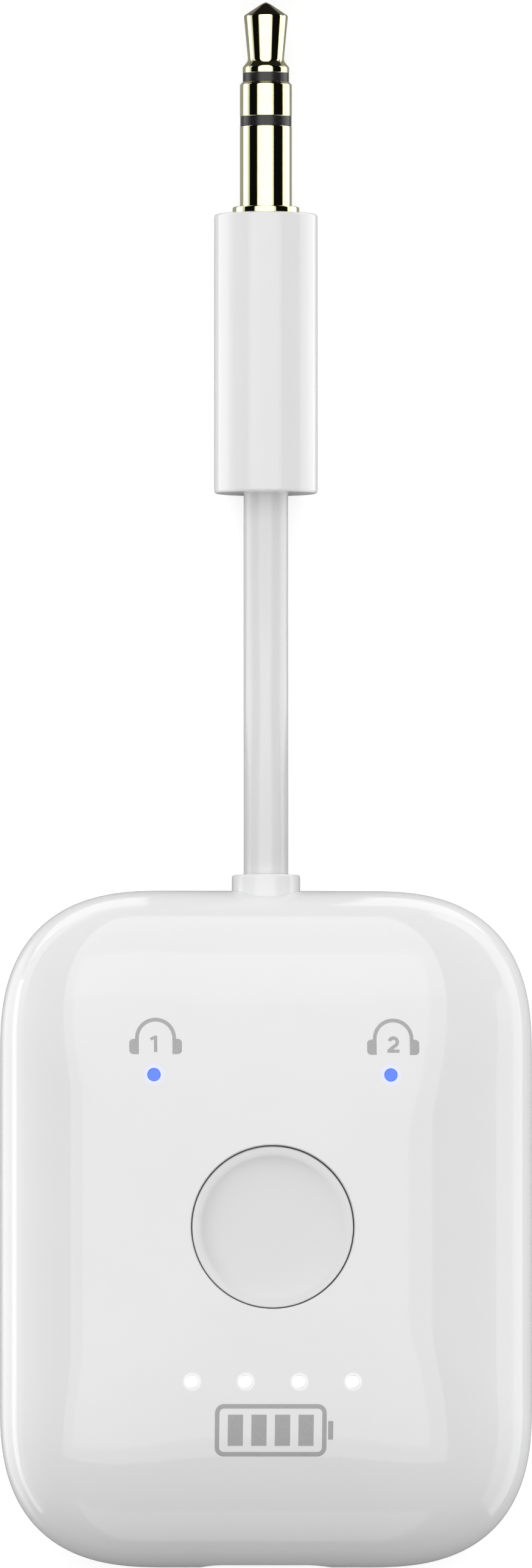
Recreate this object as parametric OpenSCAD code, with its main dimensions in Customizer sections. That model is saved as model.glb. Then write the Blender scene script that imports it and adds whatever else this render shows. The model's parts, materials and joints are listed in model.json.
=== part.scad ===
// Pocket Bluetooth audio sender in a pebble-shaped housing, with one large round button
// and a short captive cable that ends in a 3.5 mm headphone plug.
// Millimetres. The housing lies on its back: +Z is the button face, +Y the cable end.
// The origin is under the middle of the housing, on the surface that it rests on.

/* [Housing] */
// Width of the housing across X
body_w = 35.8; // [35.4:0.1:37]
// Length of the housing along Y
body_l = 45.5; // [45.2:0.1:47]
// Height of the housing's curve at its middle, along Z
body_h = 15.5; // [15.2:0.1:16]
// Length of each rounded corner along the housing's sides
corner_len = 11; // [10:0.5:13]
// Power of the corner's superellipse, where 2 is a round corner
corner_power = 2.6; // [2.4:0.1:3]
// Power of the side's profile, where higher is squarer
side_power = 2.5; // [2.5:0.1:2.8]
// Wall thickness of both covers at the long sides
wall = 1.5; // [1.3:0.1:1.5]
// Height of the rear cover's locating lip
lip_h = 1; // [0.8:0.1:1.2]

/* [Button] */
// Diameter of the hole for the button
button_hole_d = 10.95; // [10.9:0.05:11.1]
// Radial gap around the button
button_gap = 0.075; // [0.06:0.005:0.1]
// Depth of the button's rim below the top of the housing's curve
button_recess = 0.36; // [0.3:0.02:0.5]
// Depth of the dish in the button
button_dish = 0.45; // [0.3:0.05:0.5]
// Travel of the button
button_travel = 0.25; // [0.2:0.01:0.25]

/* [Lights] */
// Distance between the two status lights
status_pitch = 15.9; // [15.5:0.1:16.5]
// Distance of the status lights from the housing's middle
status_y = 10.2; // [10:0.1:10.6]
// Distance between neighbouring battery lights
battery_pitch = 3.6; // [3.4:0.1:3.8]
// Distance of the battery lights from the housing's middle
battery_light_y = 10.35; // [10:0.05:10.6]
// Diameter of a light's window
light_d = 0.86; // [0.7:0.02:1]

/* [Cable and plug] */
// Diameter of the cable
cable_d = 3; // [2.8:0.1:3]
// Diameter of the collar that the cable leaves through
collar_d = 4.6; // [4.4:0.1:5]
// Height of the collar above the housing's end
collar_out = 1.07; // [0.8:0.01:1.4]
// Diameter of the plug's grip
barrel_d = 7; // [6.8:0.1:7]
// Length of the plug's grip
barrel_len = 18.9; // [18:0.1:20]

/* [Circuit board] */
// Thickness of the circuit board
board_t = 1; // [0.8:0.1:1]
// Width of the circuit board
board_w = 28.6; // [27:0.1:28.8]

/* [Hidden] */
$fn = 64;

white = "white";
board_green = "darkgreen";
steel = "silver";
gold = "gold";
black = [0.1, 0.1, 0.1];
cut = 0.5;            // how far a cutting shape runs past the face that it cuts
slip = 0.03;          // radial clearance between fixed pieces that slide together
grip = 0.03;          // how far the moulded pieces bite into the cable's jacket

// Housing
half_w = body_w / 2;
half_l = body_l / 2;
mid_z = body_h / 2;
inner_scale = (half_w - wall) / half_w;
front_rise = body_h - mid_z;
rear_drop = mid_z + 0.6;           // the rear curve would reach this deep, but is cut flat
cavity_rise = front_rise - wall;
cavity_drop = rear_drop - wall;
corner_steps = 11;
profile_steps = 9;
apex_angle = 84;                   // the last ring before the flat middle of a curve
lip_gap = 0.012;                   // as a share of the housing's half width
lip_scale_out = inner_scale - lip_gap;
lip_scale_in = lip_scale_out - 0.036;
lip_root = 1.4;

// Standard sizes: the headphone plug's contacts, and the charging receptacle's opening
plug_d = 3.5;
port_w = 8.34;
port_h = 2.6;
port_wall = 0.25;

// Circuit board, above the charging port
port_outer_h = port_h + 2 * port_wall;
port_outer_w = port_w + 2 * port_wall;
board_bottom = mid_z + port_outer_h / 2;
board_top = board_bottom + board_t;
board_back = -19;
board_front = 16.2;
board_corner = 8;
screw_x = 12.1;
screw_y = 8;
screw_r = 0.55;
screw_head_r = 1.1;
screw_head_h = 0.5;
screw_reach = 1.5;                 // how far a screw goes into its boss
screw_hex_r = 0.4;
screw_pass_r = 0.65;
boss_r = 1.6;
boss_top = board_top + 2.9;

// Button and switch
hole_r = button_hole_d / 2;
cap_r = hole_r - button_gap;
cap_top = body_h - button_recess;
cap_dish_r = cap_r - 0.47;
cap_inner_r = 4.4;
cap_flange_r = 6.3;
cap_flange_top = body_h - wall - 0.35;
cap_flange_t = 0.7;
cap_roof = 1;
cap_foot_r = 1.2;
switch_w = 4.5;
switch_base_top = board_top + 0.7;
switch_floor = board_top + 0.15;
switch_well_r = 1.7;
switch_lid_t = 0.15;
plunger_foot = switch_floor + 0.38;
plunger_foot_t = 0.14;
plunger_foot_r = 1.3;
plunger_r = 0.9;
plunger_top = board_top + 1.35;
dome_r = 1.55;
dome_t = 0.06;
dome_rise = button_travel + 0.1;

// Lights
light_r = light_d / 2;
led_h = 0.6;
pipe_foot = board_top + led_h + 0.1;
pipe_head_t = 0.8;
status_top = body_h - 0.66;
battery_top = body_h - 0.5;
battery_xs = [-1.5, -0.5, 0.5, 1.5] * battery_pitch;

// Charging port
port_front = -half_l + 0.35;
port_depth = 7.4;
tongue_t = 0.7;
tongue_w = 6.7;
contact_count = 12;
contact_pitch = 0.5;

// Battery
cell_size = [20, 25, 6];
cell_bottom = 2.4;
cell_y = 0.3;
cell_board_size = [9, 1.2, 1];
cell_board_y = cell_y + cell_size.y / 2 + 0.7;
cell_board_z = cell_bottom + 3.6;

// Cable and plug. The cable leaves level with the port, and comes down to lie on the surface.
cable_r = cable_d / 2;
plug_r = plug_d / 2;
collar_end = half_l + collar_out;
plug_x = 0.25;
plug_z = barrel_d / 2;
barrel_start = 49.75;
barrel_end = barrel_start + barrel_len;
barrel_bore_end = barrel_start + 3.2;
// The cable's line, as [distance along Y, share of the way down to the plug's axis]
cable_bend = [
    [17, 0], [19, 0], [21, 0], [23, 0], [25, 0],
    [27, 0.02], [29, 0.08], [31, 0.18], [33, 0.32], [35, 0.5],
    [37, 0.68], [39, 0.82], [41, 0.92], [43, 0.98], [45, 1],
    [47, 1], [49, 1], [51, 1], [52.5, 1]
];
cable_route = [for (p = cable_bend) [p[1] * plug_x, p[0], mid_z - p[1] * (mid_z - plug_z)]];
// Lengths of the plug's pieces, from the grip to the tip
flange_t = 0.48;
sleeve_len = 5.94;
rear_insulator_len = 0.66;
ring_len = 2.34;
front_insulator_len = 0.6;
sleeve_end = barrel_end + sleeve_len;
ring_start = sleeve_end + rear_insulator_len;
ring_end = ring_start + ring_len;
tip_start = ring_end + front_insulator_len;
tip_r = 1.575;
core_r = 2.6;
tail_r = 1.5;
core_start = barrel_bore_end + 0.2;

// A quarter of a superellipse, at the angle given
function quarter(angle, power) = [pow(cos(angle), 2 / power), pow(sin(angle), 2 / power)];

// The housing's outline, anticlockwise: straight sides joined by superellipse corners
corner_signs = [[1, 1], [-1, 1], [-1, -1], [1, -1]];
outline = [
    for (q = [0:3], i = [0:corner_steps])
        let (step = q % 2 == 0 ? i : corner_steps - i)
        let (c = quarter(step * 90 / corner_steps, corner_power) * corner_len)
        [corner_signs[q].x * (half_w - corner_len + c.x),
         corner_signs[q].y * (half_l - corner_len + c.y)]
];

// Rings of the housing's side, as [scale of the outline, height]
function side_ring(angle, scale, rise) =
    let (s = quarter(angle, side_power)) [scale * s.x, mid_z + rise * s.y];
function side_rings(scale, rise, from, to) =
    [for (i = [0:profile_steps]) side_ring(from + (to - from) * i / profile_steps, scale, rise)];

// The angle at which a curve that drops below the middle reaches the height z
function flat_angle(drop, z) = asin(pow((mid_z - z) / drop, side_power / 2));

// A solid through scaled copies of the housing's outline. The rings run from the flat end
// that faces up, round the outside, to the flat end that faces down.
module ring_solid(rings) {
    n = len(outline);
    last = len(rings) - 1;
    points = [for (r = rings, p = outline) [p.x * r[0], p.y * r[0], r[1]]];
    sides = [
        for (j = [0:last - 1], i = [0:n - 1])
            let (k = (i + 1) % n)
            [j * n + i, j * n + k, (j + 1) * n + k, (j + 1) * n + i]
    ];
    start_cap = [for (i = [n - 1:-1:0]) i];
    end_cap = [for (i = [0:n - 1]) last * n + i];
    polyhedron(points, concat([start_cap], sides, [end_cap]), convexity = 6);
}

// A round bar along +Y, from y0 to y1
module bar_y(r, y0, y1) {
    translate([0, y0, 0]) rotate([-90, 0, 0]) cylinder(r = r, h = y1 - y0);
}

// A round profile of [radius, distance] points turned about the plug's axis
module turned_plug(profile) {
    translate([plug_x, 0, plug_z]) rotate([-90, 0, 0]) rotate_extrude() polygon(profile);
}

// A bar along Y whose cross-section has round ends
module stadium_bar(w, h, y0, y1) {
    for (side = [-1, 1])
        translate([side * (w - h) / 2, 0, 0]) bar_y(h / 2, y0, y1);
    translate([-(w - h) / 2, y0, -h / 2]) cube([w - h, y1 - y0, h]);
}

// A box centred in X and Y that stands on z = 0
module block(size) {
    translate([-size.x / 2, -size.y / 2, 0]) cube(size);
}

// A tube swept along a path. Side is a direction that the path never follows.
function unit(v) = v / norm(v);
function heading(path, i) = unit(path[min(i + 1, len(path) - 1)] - path[max(i - 1, 0)]);
function tube_ring(path, i, r, side, count) =
    let (u = unit(cross(heading(path, i), side)), v = cross(heading(path, i), u))
    [for (k = [0:count - 1]) path[i] + r * (cos(k * 360 / count) * u + sin(k * 360 / count) * v)];
module swept_tube(path, r, side = [1, 0, 0], count = 8) {
    last = len(path) - 1;
    points = [for (i = [0:last]) each tube_ring(path, i, r, side, count)];
    sides = [
        for (j = [0:last - 1], i = [0:count - 1])
            let (k = (i + 1) % count)
            each [[j * count + i, (j + 1) * count + i, j * count + k],
                  [j * count + k, (j + 1) * count + i, (j + 1) * count + k]]
    ];
    start_cap = [for (i = [0:count - 1]) i];
    end_cap = [for (i = [count - 1:-1:0]) last * count + i];
    polyhedron(points, concat([start_cap], sides, [end_cap]));
}

// What both covers leave open: the charging port and the cable's collar
module end_openings() {
    translate([0, 0, mid_z]) {
        stadium_bar(port_outer_w + 2 * slip, port_outer_h + 2 * slip, -half_l - cut, -half_l + 5);
        bar_y(collar_d / 2 + slip, half_l - 5, half_l + cut);
    }
}

module screw_places() {
    for (x = [-screw_x, screw_x], y = [-screw_y, screw_y]) translate([x, y, 0]) children();
}

module front_cover() {
    color(white) difference() {
        union() {
            ring_solid(concat(
                side_rings(1, front_rise, apex_angle, 0),
                side_rings(inner_scale, cavity_rise, 0, apex_angle)
            ));
            screw_places() translate([0, 0, board_top]) cylinder(r = boss_r, h = boss_top - board_top);
        }
        screw_places() translate([0, 0, board_top - cut])
            cylinder(r = screw_r + 0.01, h = cut + screw_reach + 0.2);
        translate([0, 0, body_h - wall - 1]) cylinder(r = hole_r, h = wall + 2);
        for (x = [-1, 1] * status_pitch / 2)
            translate([x, status_y, body_h - 3]) cylinder(r = light_r + slip, h = 4);
        for (x = battery_xs)
            translate([x, -battery_light_y, body_h - 3]) cylinder(r = light_r + slip, h = 4);
        end_openings();
    }
}

module rear_cover() {
    flat_out = flat_angle(rear_drop, 0);
    flat_in = flat_angle(cavity_drop, wall);
    color(white) difference() {
        ring_solid(concat(
            side_rings(inner_scale, -cavity_drop, flat_in, 18),
            [
                [lip_scale_in, mid_z - lip_root],
                [lip_scale_in, mid_z + lip_h],
                [lip_scale_out, mid_z + lip_h],
                [lip_scale_out, mid_z]
            ],
            side_rings(1, -rear_drop, 0, flat_out)
        ));
        end_openings();
    }
}

// The cap is a turned cup with a dished top, a retaining flange and a short foot for the switch
module button_cap() {
    roof_under = cap_top - button_dish - cap_roof;
    dish_sphere_r = (pow(cap_dish_r, 2) + pow(button_dish, 2)) / (2 * button_dish);
    edge = 0.12;
    color(white) {
        difference() {
            rotate_extrude() polygon([
                [0, roof_under],
                [cap_inner_r, roof_under],
                [cap_inner_r, cap_flange_top - cap_flange_t],
                [cap_flange_r, cap_flange_top - cap_flange_t],
                [cap_flange_r, cap_flange_top],
                [cap_r, cap_flange_top],
                [cap_r, cap_top - edge],
                [cap_r - edge, cap_top],
                [0, cap_top]
            ]);
            translate([0, 0, cap_top - button_dish + dish_sphere_r]) sphere(r = dish_sphere_r, $fn = 96);
        }
        translate([0, 0, plunger_top + 0.02]) cylinder(r = cap_foot_r, h = roof_under - plunger_top);
    }
}

// A clear pin through the cover with a wider head that faces the light source
module light_pipe(top) {
    translate([0, 0, pipe_foot]) cylinder(r = light_r, h = top - pipe_foot);
    translate([0, 0, pipe_foot]) cylinder(r = 2 * light_r, h = pipe_head_t);
}

module status_light_pipe(side) {
    color("lightblue") translate([side * status_pitch / 2, status_y, 0]) light_pipe(status_top);
}

module status_light_pipe_1() { status_light_pipe(-1); }
module status_light_pipe_2() { status_light_pipe(1); }

// One moulded strip carries the four pins
module battery_light_guide() {
    color("lightgrey") {
        for (x = battery_xs)
            translate([x, -battery_light_y, pipe_foot]) cylinder(r = light_r, h = battery_top - pipe_foot);
        translate([0, -battery_light_y, pipe_foot]) block([3.5 * battery_pitch, 1.8, pipe_head_t]);
    }
}

module led(w, l) {
    translate([0, 0, board_top]) block([w, l, led_h / 2]);
    translate([0, 0, board_top + led_h / 2]) block([w * 0.65, l, led_h / 2]);
}

module status_led(side) {
    color("lightyellow") translate([side * status_pitch / 2, status_y, 0]) led(1.6, 0.8);
}

module status_led_1() { status_led(-1); }
module status_led_2() { status_led(1); }

module battery_leds() {
    color("lightyellow") for (x = battery_xs) translate([x, -battery_light_y, 0]) led(1.6, 0.8);
}

module main_board() {
    inset_w = board_w / 2 - board_corner;
    color(board_green) difference() {
        translate([0, 0, board_bottom]) {
            for (x = [-inset_w, inset_w], y = [board_back + board_corner, board_front - board_corner])
                translate([x, y, 0]) cylinder(r = board_corner, h = board_t);
            translate([-board_w / 2, board_back + board_corner, 0])
                cube([board_w, board_front - board_back - 2 * board_corner, board_t]);
            translate([-inset_w, board_back, 0])
                cube([2 * inset_w, board_front - board_back, board_t]);
        }
        screw_places() translate([0, 0, board_bottom - cut])
            cylinder(r = screw_pass_r, h = board_t + 2 * cut);
    }
}

module board_screws() {
    color(steel) screw_places() {
        translate([0, 0, board_bottom - screw_head_h]) difference() {
            cylinder(r = screw_head_r, h = screw_head_h);
            translate([0, 0, -cut]) cylinder(r = screw_hex_r, h = cut + 0.3, $fn = 6);
        }
        translate([0, 0, board_bottom - 0.01]) cylinder(r = screw_r, h = board_t + screw_reach);
    }
}

module switch_base() {
    color(black) difference() {
        translate([0, 0, board_top]) block([switch_w, switch_w, switch_base_top - board_top]);
        translate([0, 0, switch_floor]) cylinder(r = switch_well_r, h = 2);
    }
}

module switch_dome() {
    sphere_r = (pow(dome_r, 2) + pow(dome_rise, 2)) / (2 * dome_rise);
    color(steel) translate([0, 0, switch_floor]) intersection() {
        cylinder(r = dome_r, h = dome_rise + 1);
        translate([0, 0, dome_rise - sphere_r]) difference() {
            sphere(r = sphere_r);
            sphere(r = sphere_r - dome_t);
        }
    }
}

module switch_plunger() {
    color("dimgrey") {
        translate([0, 0, plunger_foot]) cylinder(r = plunger_foot_r, h = plunger_foot_t);
        translate([0, 0, plunger_foot]) cylinder(r = plunger_r, h = plunger_top - plunger_foot);
    }
}

module switch_lid() {
    color(steel) difference() {
        translate([0, 0, switch_base_top]) block([switch_w, switch_w, switch_lid_t]);
        translate([0, 0, switch_base_top - cut]) cylinder(r = plunger_r + 0.06, h = 2);
    }
}

// A flat chip package with a pin-one dot sunk in its top
module chip(x, y, size) {
    dot_inset = 0.6;
    dot_depth = 0.05;
    color(black) translate([x, y, board_top]) difference() {
        block(size);
        translate([size.x / 2 - dot_inset, size.y / 2 - dot_inset, size.z - dot_depth])
            cylinder(r = 0.25, h = dot_depth + cut);
    }
}

module bluetooth_chip() { chip(-10.2, 0, [5, 5, 0.85]); }
module charger_chip() { chip(9.6, -2.4, [3, 3, 0.75]); }

module crystal() {
    base_h = 0.3;
    color(steel) translate([-10.6, 4.6, board_top]) {
        block([2.5, 2, base_h]);
        translate([0, 0, base_h]) block([2.2, 1.7, 0.25]);
    }
}

// A coil core between two square plates
module power_inductor() {
    plate = [3, 3, 0.2];
    core_h = 0.6;
    color("dimgrey") translate([10, 2.6, board_top]) {
        block(plate);
        translate([0, 0, plate.z]) cylinder(r = 1.3, h = core_h);
        translate([0, 0, plate.z + core_h]) block(plate);
    }
}

module chip_antenna() {
    color("white") translate([0, 14.8, board_top]) block([3.2, 1.6, 0.5]);
}

module capacitors() {
    places = [[-4.5, 13], [-2.5, 12.5], [4.5, 13], [3, 11], [-3, 10.5], [0, 10.5],
              [7.4, -6.4], [9, -6.4], [-7.4, -6.4], [-9, -6.4], [-8.4, -14], [8.4, -14]];
    color("tan") for (p = places) translate([p.x, p.y, board_top]) block([1, 0.5, 0.5]);
}

// The receptacle's shell is a drawn steel tube, closed at the back and soldered under the board
module usb_shell() {
    color(steel) translate([0, 0, mid_z]) difference() {
        stadium_bar(port_outer_w, port_outer_h, port_front, port_front + port_depth);
        stadium_bar(port_w, port_h, port_front - cut, port_front + port_depth - port_wall);
    }
}

module usb_tongue() {
    base_y = port_front + port_depth - port_wall;
    color(black) translate([0, 0, mid_z]) {
        stadium_bar(port_w - 2 * slip, port_h - 2 * slip, base_y - 1.6, base_y - slip);
        translate([-tongue_w / 2, port_front + 0.8, -tongue_t / 2])
            cube([tongue_w, base_y - port_front - 1.4, tongue_t]);
    }
}

module usb_contacts() {
    contact = [0.26, 3.6, 0.04];
    color(gold) translate([0, port_front + 1.2, mid_z])
        for (i = [0:contact_count - 1], side = [0, 1])
            mirror([0, 0, side])
                translate([(i - (contact_count - 1) / 2) * contact_pitch - contact.x / 2, 0, tongue_t / 2])
                    cube(contact);
}

// A flat pouch cell with round long edges
module battery_cell() {
    color(steel) translate([0, cell_y, cell_bottom]) {
        for (x = [-1, 1])
            translate([x * (cell_size.x - cell_size.z) / 2, -cell_size.y / 2, cell_size.z / 2])
                rotate([-90, 0, 0]) cylinder(r = cell_size.z / 2, h = cell_size.y);
        block([cell_size.x - cell_size.z, cell_size.y, cell_size.z]);
    }
}

module battery_board() {
    color(board_green) translate([0, cell_board_y, cell_board_z]) block(cell_board_size);
}

module battery_leads() {
    lead_r = 0.4;
    start_z = cell_board_z + cell_board_size.z;
    for (x = [-3, 3])
        color(x < 0 ? "black" : "red") swept_tube([
            [x, cell_board_y, start_z],
            [x, cell_board_y, start_z + 0.5],
            [x, cell_board_y + 0.1, start_z + 1],
            [x, cell_board_y + 0.1, board_bottom]
        ], lead_r);
}

module battery_pad() {
    color(black) translate([0, 0, wall]) block([13, 17, cell_bottom - wall]);
}

// The collar is moulded onto the cable, and its flange sits behind the covers' end wall
module cord_collar() {
    flange_y = [18.4, 19.4];
    flange_r = 2.75;
    edge = 0.16;
    color(white) translate([0, 0, mid_z]) rotate([-90, 0, 0]) rotate_extrude() polygon([
        [cable_r - grip, flange_y[0]],
        [flange_r, flange_y[0]],
        [flange_r, flange_y[1]],
        [collar_d / 2, flange_y[1]],
        [collar_d / 2, collar_end - edge],
        [collar_d / 2 - edge * 0.3, collar_end - edge * 0.3],
        [collar_d / 2 - edge, collar_end],
        [cable_r - grip, collar_end]
    ]);
}

module cable_jacket() {
    color(white) swept_tube(cable_route, cable_r);
}

// Left, right and ground conductors, from the cable's end up to the board
module cable_wires() {
    wire_r = 0.35;
    colors = ["red", "white", "black"];
    for (i = [0:2])
        let (x = (i - 1) * 0.9)
        color(colors[i]) swept_tube([
            [x, 16.99, mid_z],
            [x, 16.3, mid_z],
            [x, 15.7, mid_z + 0.4],
            [x, 15.5, mid_z + 1],
            [x, 15.5, board_bottom]
        ], wire_r);
}

module plug_barrel() {
    edge = 0.2;
    turned = [
        [cable_r - grip, barrel_start],
        [barrel_d / 2 - edge, barrel_start],
        [barrel_d / 2 - edge * 0.3, barrel_start + edge * 0.3],
        [barrel_d / 2, barrel_start + edge],
        [barrel_d / 2, barrel_end - edge],
        [barrel_d / 2 - edge * 0.3, barrel_end - edge * 0.3],
        [barrel_d / 2 - edge, barrel_end],
        [tail_r + slip, barrel_end],
        [tail_r + slip, barrel_end - 1],
        [core_r + slip, barrel_end - 1],
        [core_r + slip, barrel_bore_end],
        [cable_r - grip, barrel_bore_end]
    ];
    color(white) turned_plug(turned);
}

// The inner moulding locks the cable's wires to the contacts' tails
module plug_core() {
    color("ivory") turned_plug([
        [0, core_start],
        [core_r, core_start],
        [core_r, barrel_end - 1 - slip],
        [tail_r + slip, barrel_end - 1 - slip],
        [tail_r + slip, barrel_end - 4.5],
        [0, barrel_end - 4.5]
    ]);
}

// The ground contact: a flange against the grip, the sleeve, and a tail inside the moulding
module plug_sleeve() {
    color(gold) turned_plug([
        [1.3, barrel_end - 3],
        [tail_r, barrel_end - 3],
        [tail_r, barrel_end],
        [2.15, barrel_end],
        [2.25, barrel_end + 0.1],
        [2.25, barrel_end + flange_t - 0.1],
        [2.15, barrel_end + flange_t],
        [plug_r, barrel_end + flange_t],
        [plug_r, sleeve_end],
        [1.3, sleeve_end]
    ]);
}

module plug_rear_insulator() {
    color(black) turned_plug([
        [1.05, barrel_end - 3.4],
        [1.28, barrel_end - 3.4],
        [1.28, sleeve_end],
        [plug_r, sleeve_end],
        [plug_r, ring_start],
        [1.05, ring_start]
    ]);
}

module plug_ring() {
    color(gold) turned_plug([
        [0.8, barrel_end - 3.8],
        [1.03, barrel_end - 3.8],
        [1.03, ring_start],
        [plug_r, ring_start],
        [plug_r, ring_end - 0.17],
        [tip_r, ring_end],
        [0.8, ring_end]
    ]);
}

module plug_front_insulator() {
    color(black) turned_plug([
        [0.55, barrel_end - 4.2],
        [0.78, barrel_end - 4.2],
        [0.78, ring_end],
        [tip_r, ring_end],
        [tip_r, tip_start],
        [0.55, tip_start]
    ]);
}

// The tip contact narrows to a neck behind its head, which a jack's spring drops into
module plug_tip() {
    color(gold) turned_plug([
        [0, barrel_end - 4.45],
        [0.53, barrel_end - 4.45],
        [0.53, tip_start],
        [tip_r, tip_start],
        [tip_r, tip_start + 0.4],
        [1.2, tip_start + 0.85],
        [1.485, tip_start + 3.85],
        [1.46, tip_start + 3.92],
        [0.3, tip_start + 4.7],
        [0, tip_start + 4.83]
    ]);
}

front_cover();
rear_cover();
button_cap();
status_light_pipe_1();
status_light_pipe_2();
battery_light_guide();
status_led_1();
status_led_2();
battery_leds();
main_board();
board_screws();
switch_base();
switch_dome();
switch_plunger();
switch_lid();
bluetooth_chip();
charger_chip();
crystal();
power_inductor();
chip_antenna();
capacitors();
usb_shell();
usb_tongue();
usb_contacts();
battery_cell();
battery_board();
battery_leads();
battery_pad();
cord_collar();
cable_jacket();
cable_wires();
plug_barrel();
plug_core();
plug_sleeve();
plug_rear_insulator();
plug_ring();
plug_front_insulator();
plug_tip();
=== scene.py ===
import json
import math

import bmesh
import bpy
import numpy as np
from mathutils import Matrix, Vector

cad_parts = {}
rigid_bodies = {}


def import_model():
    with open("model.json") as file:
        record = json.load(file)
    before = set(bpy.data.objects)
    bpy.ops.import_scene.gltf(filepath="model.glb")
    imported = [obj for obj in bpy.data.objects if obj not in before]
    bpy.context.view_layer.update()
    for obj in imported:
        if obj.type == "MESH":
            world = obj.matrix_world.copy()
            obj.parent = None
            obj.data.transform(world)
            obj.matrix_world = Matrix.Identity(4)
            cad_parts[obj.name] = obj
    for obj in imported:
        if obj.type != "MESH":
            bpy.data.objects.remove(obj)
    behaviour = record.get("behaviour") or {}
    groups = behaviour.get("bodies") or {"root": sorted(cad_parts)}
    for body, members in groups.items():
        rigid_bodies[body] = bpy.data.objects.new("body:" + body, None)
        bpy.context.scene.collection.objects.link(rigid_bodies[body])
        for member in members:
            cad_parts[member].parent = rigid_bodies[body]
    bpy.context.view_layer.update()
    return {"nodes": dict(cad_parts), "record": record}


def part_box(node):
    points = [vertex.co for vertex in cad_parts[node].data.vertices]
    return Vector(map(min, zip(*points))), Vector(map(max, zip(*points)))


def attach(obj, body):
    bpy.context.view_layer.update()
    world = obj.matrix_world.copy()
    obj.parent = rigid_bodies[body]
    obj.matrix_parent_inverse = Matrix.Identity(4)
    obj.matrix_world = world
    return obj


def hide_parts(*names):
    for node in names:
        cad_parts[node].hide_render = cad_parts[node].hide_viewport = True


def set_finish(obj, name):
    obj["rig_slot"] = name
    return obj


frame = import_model()
record = frame["record"]
nodes = frame["nodes"]
MM = 0.001

# Sizes of the housing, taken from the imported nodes
front_low, front_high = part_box("front_cover")
cap_low, cap_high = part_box("button_cap")
barrel_low, barrel_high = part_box("plug_barrel")
half_w = front_high[0]
half_l = front_high[1]
mid_z = front_low[2]
body_h = 2 * mid_z
front_rise = body_h - mid_z
rear_drop = mid_z + 0.6 * MM
wall = 1.5 * MM
inner_scale = (half_w - wall) / half_w
corner_len = 11 * MM
CORNER_POWER = 2.6
SIDE_POWER = 2.5
plug_x = (barrel_low[0] + barrel_high[0]) / 2
plug_z = (barrel_low[2] + barrel_high[2]) / 2
barrel_start = barrel_low[1]
barrel_end = barrel_high[1]
barrel_r = (barrel_high[0] - barrel_low[0]) / 2
collar_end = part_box("cord_collar")[1][1]
hole_r = 5.475 * MM
light_r = 0.43 * MM
status_x = 7.95 * MM
status_y = 10.2 * MM
battery_y = -10.35 * MM
battery_xs = [k * 3.6 * MM for k in (-1.5, -0.5, 0.5, 1.5)]


# ---------------------------------------------------------------- camera
def look_along(obj, target, direction, distance):
    """Places obj at a distance from target, looking back at it with +Y upward in its picture."""
    back = Vector(direction).normalized()
    up = Vector((0, 1, 0))
    right = up.cross(back).normalized()
    up = back.cross(right)
    turn = Matrix((right, up, back)).transposed()
    obj.matrix_world = Matrix.Translation(Vector(target) + distance * back) @ turn.to_4x4()


CAMERA_DISTANCE = 1.5
VIEW_HEIGHT = 105.57 * MM
camera_data = bpy.data.cameras.new("camera")
camera_data.sensor_width = 36
camera_data.lens = 36 * CAMERA_DISTANCE / VIEW_HEIGHT
camera_data.clip_start = 0.1
camera_data.clip_end = 20
camera = bpy.data.objects.new("camera", camera_data)
bpy.context.scene.collection.objects.link(camera)
bpy.context.scene.camera = camera
VIEW_LEFT = math.tan(math.radians(3.5))
VIEW_DOWN = math.tan(math.radians(2.2))
look_along(camera, (0, 29.96 * MM, mid_z), (-VIEW_LEFT, -VIEW_DOWN, 1), CAMERA_DISTANCE)


# ---------------------------------------------------------------- cable
def link(obj):
    bpy.context.scene.collection.objects.link(obj)
    return obj


# The cable's line, as (distance along Y in millimetres, share of the way down to the plug's axis)
CABLE_BEND = [
    (17, 0), (19, 0), (21, 0), (23, 0), (25, 0),
    (27, 0.02), (29, 0.08), (31, 0.18), (33, 0.32), (35, 0.5),
    (37, 0.68), (39, 0.82), (41, 0.92), (43, 0.98), (45, 1),
    (47, 1), (49, 1), (51, 1), (52.5, 1),
]
cable_points = [
    Vector((share * plug_x, y * MM, mid_z - share * (mid_z - plug_z))) for y, share in CABLE_BEND
]


def smooth_path(points, steps):
    """A uniform cubic B-spline through the ends and near the other points."""
    ends = [2 * points[0] - points[1]] + points + [2 * points[-1] - points[-2]]
    out = []
    for k in range(len(points) - 1):
        a, b, c, d = ends[k:k + 4]
        for i in range(steps):
            t = i / steps
            out.append((
                (1 - t) ** 3 * a + (3 * t ** 3 - 6 * t ** 2 + 4) * b
                + (-3 * t ** 3 + 3 * t ** 2 + 3 * t + 1) * c + t ** 3 * d
            ) / 6)
    out.append(points[-1].copy())
    return out


cable_path = smooth_path(cable_points, 5)


# ---------------------------------------------------------------- mesh helpers
def turn_outward(mesh):
    """Makes all faces of a closed mesh look outward."""
    clean = bmesh.new()
    clean.from_mesh(mesh)
    bmesh.ops.recalc_face_normals(clean, faces=clean.faces)
    clean.to_mesh(mesh)
    clean.free()


def merged(parts):
    """The points and faces of several (points, faces) pairs as one."""
    points = []
    faces = []
    for part_points, part_faces in parts:
        start = len(points)
        points += part_points
        faces += [tuple(start + i for i in f) for f in part_faces]
    return points, faces


def mesh_object(name, points, faces, body, replaced, slot_name, sharp=30):
    """A smooth-shaded mesh that rides on a body and stands for a CAD node."""
    mesh = bpy.data.meshes.new(name)
    mesh.from_pydata([tuple(p) for p in points], [], faces)
    mesh.validate()
    turn_outward(mesh)
    for polygon in mesh.polygons:
        polygon.use_smooth = True
    mesh.set_sharp_from_angle(angle=math.radians(sharp))
    obj = link(bpy.data.objects.new(name, mesh))
    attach(obj, body)
    if replaced:
        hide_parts(*replaced)
    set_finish(obj, slot_name)
    return obj


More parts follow.
